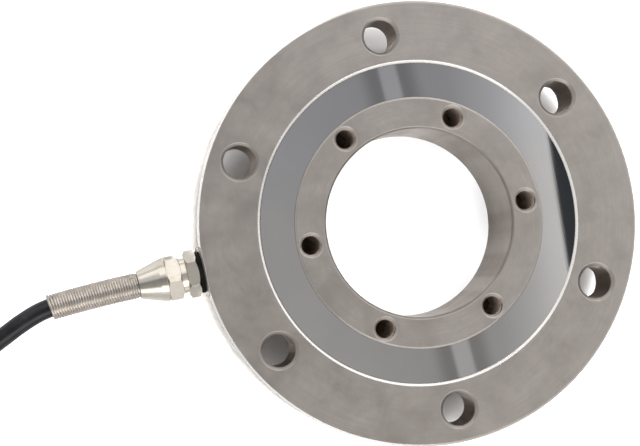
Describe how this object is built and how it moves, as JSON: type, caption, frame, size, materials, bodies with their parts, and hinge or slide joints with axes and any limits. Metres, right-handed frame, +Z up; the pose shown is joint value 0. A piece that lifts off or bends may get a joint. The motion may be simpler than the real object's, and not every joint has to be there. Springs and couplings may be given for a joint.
{
  "type": "pancake load cell",
  "caption": "Low ring-shaped force sensor with a bolted outer flange, a threaded inner hub, a wide through bore and a side cable in a gland with a wire spring guard.",
  "frame": {"origin": "centre of the hub's lower face, on the bore axis", "axes": "+Z up along the bore axis, towards the face with the threaded holes; the cable gland points along -X"},
  "size_m": [0.342, 0.206, 0.032],
  "materials": {
    "body_steel": "ground stainless steel, slightly cloudy",
    "cover_steel": "mirror polished stainless steel",
    "gauge_foil": "polyimide foil",
    "board_laminate": "green laminate",
    "resistor_chip": "matt black chip",
    "harness_film": "polyimide film",
    "washer_rubber": "smooth black rubber",
    "bush_rubber": "smooth black rubber",
    "gland_plating": "bright nickel plating",
    "spring_wire": "drawn wire, satin",
    "cable_jacket": "smooth black jacket, semi-gloss",
    "insulation_red": "satin",
    "insulation_black": "satin",
    "insulation_green": "satin",
    "insulation_white": "satin",
    "shield_braid": "twisted tinned strands",
    "tinned_wire": "tinned strands"
  },
  "bodies": {
    "root": {"flexure_body": "body_steel", "top_cover_ring": "cover_steel", "bottom_cover_ring": "cover_steel", "strain_gauge_01": "gauge_foil", "strain_gauge_02": "gauge_foil", "strain_gauge_03": "gauge_foil", "strain_gauge_04": "gauge_foil", "strain_gauge_05": "gauge_foil", "strain_gauge_06": "gauge_foil", "strain_gauge_07": "gauge_foil", "strain_gauge_08": "gauge_foil", "strain_gauge_09": "gauge_foil", "strain_gauge_10": "gauge_foil", "strain_gauge_11": "gauge_foil", "strain_gauge_12": "gauge_foil", "terminal_board": "board_laminate", "trim_resistors": "resistor_chip", "bridge_harness": "harness_film", "gland_washer": "washer_rubber", "gland_body": "gland_plating", "gland_seal_bush": "bush_rubber", "gland_thrust_ring": "gland_plating", "gland_nut": "gland_plating", "spring_strain_relief": "spring_wire", "cable": "cable_jacket", "cable_coil": "cable_jacket", "cable_tail": "cable_jacket", "core_red": "insulation_red", "core_black": "insulation_black", "core_green": "insulation_green", "core_white": "insulation_white", "core_shield": "shield_braid", "core_tips": "tinned_wire", "inner_core_red": "insulation_red", "inner_core_black": "insulation_black", "inner_core_green": "insulation_green", "inner_core_white": "insulation_white"}
  },
  "joints": []
}
